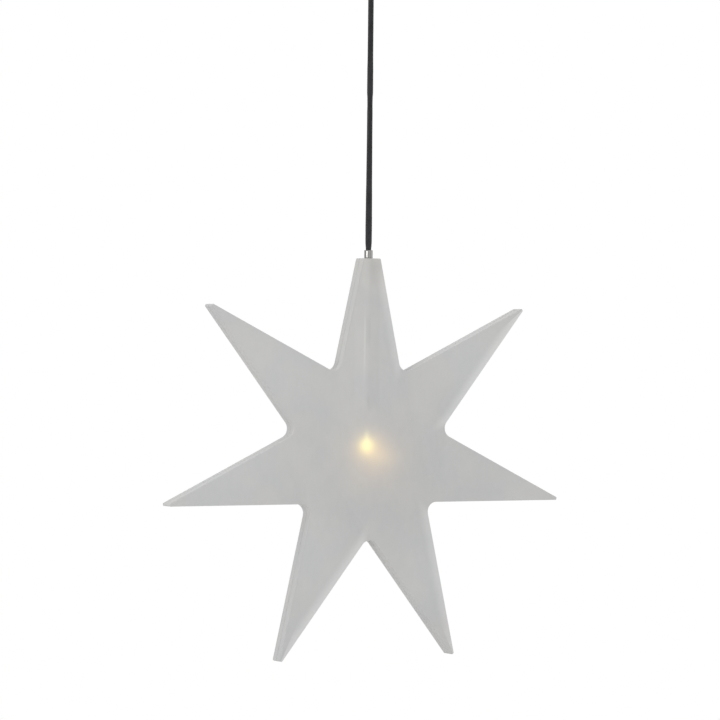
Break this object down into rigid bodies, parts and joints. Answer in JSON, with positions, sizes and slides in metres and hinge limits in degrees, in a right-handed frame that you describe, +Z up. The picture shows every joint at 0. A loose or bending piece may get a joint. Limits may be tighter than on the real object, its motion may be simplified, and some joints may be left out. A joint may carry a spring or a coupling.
{
  "type": "hanging led star",
  "caption": "Flat pointed star of frosted translucent plastic, lit from inside by a small warm LED and hung by a black textile cord from a ceiling cup.",
  "frame": {"origin": "middle of the strap's top face, which lies against the ceiling", "axes": "+Z up, -Y the way the star's front face looks, +X to the right of someone who looks at that face"},
  "size_m": [0.4506, 0.062, 0.7157],
  "materials": {
    "frosted_plastic": "frosted translucent, fine sanded surface",
    "satin_steel": "satin, turned",
    "zinc_steel": "zinc plated",
    "textile_cord": "braided charcoal black textile sleeve",
    "black_lacquer": "semi-matt black lacquer",
    "black_nylon": "moulded nylon",
    "white_nylon": "moulded nylon",
    "white_insulation": "smooth wire insulation",
    "grey_insulation": "smooth wire insulation",
    "clear_sleeve": "clear shrink sleeve",
    "resistor_lacquer": "lacquered ceramic",
    "tinned_wire": "tinned",
    "warm_epoxy": "clear warm epoxy lens, lit"
  },
  "bodies": {
    "ceiling_fitting": {"ceiling_cup": "black_lacquer", "ceiling_strap": "zinc_steel", "cup_screw_left": "zinc_steel", "cup_screw_right": "zinc_steel", "cord_grip": "black_nylon", "grip_screw": "zinc_steel", "grip_nut": "zinc_steel", "cord_upper_end": "textile_cord", "terminal_block": "white_nylon", "terminal_screw_left": "zinc_steel", "terminal_screw_right": "zinc_steel", "cup_wire_positive": "white_insulation", "cup_wire_negative": "grey_insulation"},
    "cord_bend": {"cord_top_bend": "textile_cord"},
    "hanging_cord": {"cord": "textile_cord"},
    "star": {"star_front_shell": "frosted_plastic", "star_rear_shell": "frosted_plastic", "ferrule": "satin_steel", "cord_crimp": "satin_steel", "cord_lower_end": "textile_cord", "wire_positive": "white_insulation", "wire_negative": "grey_insulation", "series_resistor": "resistor_lacquer", "resistor_sleeve": "clear_sleeve", "joint_sleeve_upper": "clear_sleeve", "joint_sleeve_anode": "clear_sleeve", "joint_sleeve_cathode": "clear_sleeve", "led_lens": "warm_epoxy", "led_anode_lead": "tinned_wire", "led_cathode_lead": "tinned_wire"}
  },
  "joints": [
    {"name": "swing_sideways", "type": "hinge", "parent": "ceiling_fitting", "child": "cord_bend", "pos_m": [0, 0, -0.0408], "axis": [0, 1, 0], "range_deg": [-30, 30]},
    {"name": "swing_front_to_back", "type": "hinge", "parent": "cord_bend", "child": "hanging_cord", "pos_m": [0, 0, -0.0408], "axis": [1, 0, 0], "range_deg": [-30, 30]},
    {"name": "star_turn", "type": "hinge", "parent": "hanging_cord", "child": "star", "pos_m": [0, 0, -0.3058], "axis": [0, 0, 1], "range_deg": [-180, 180]}
  ]
}
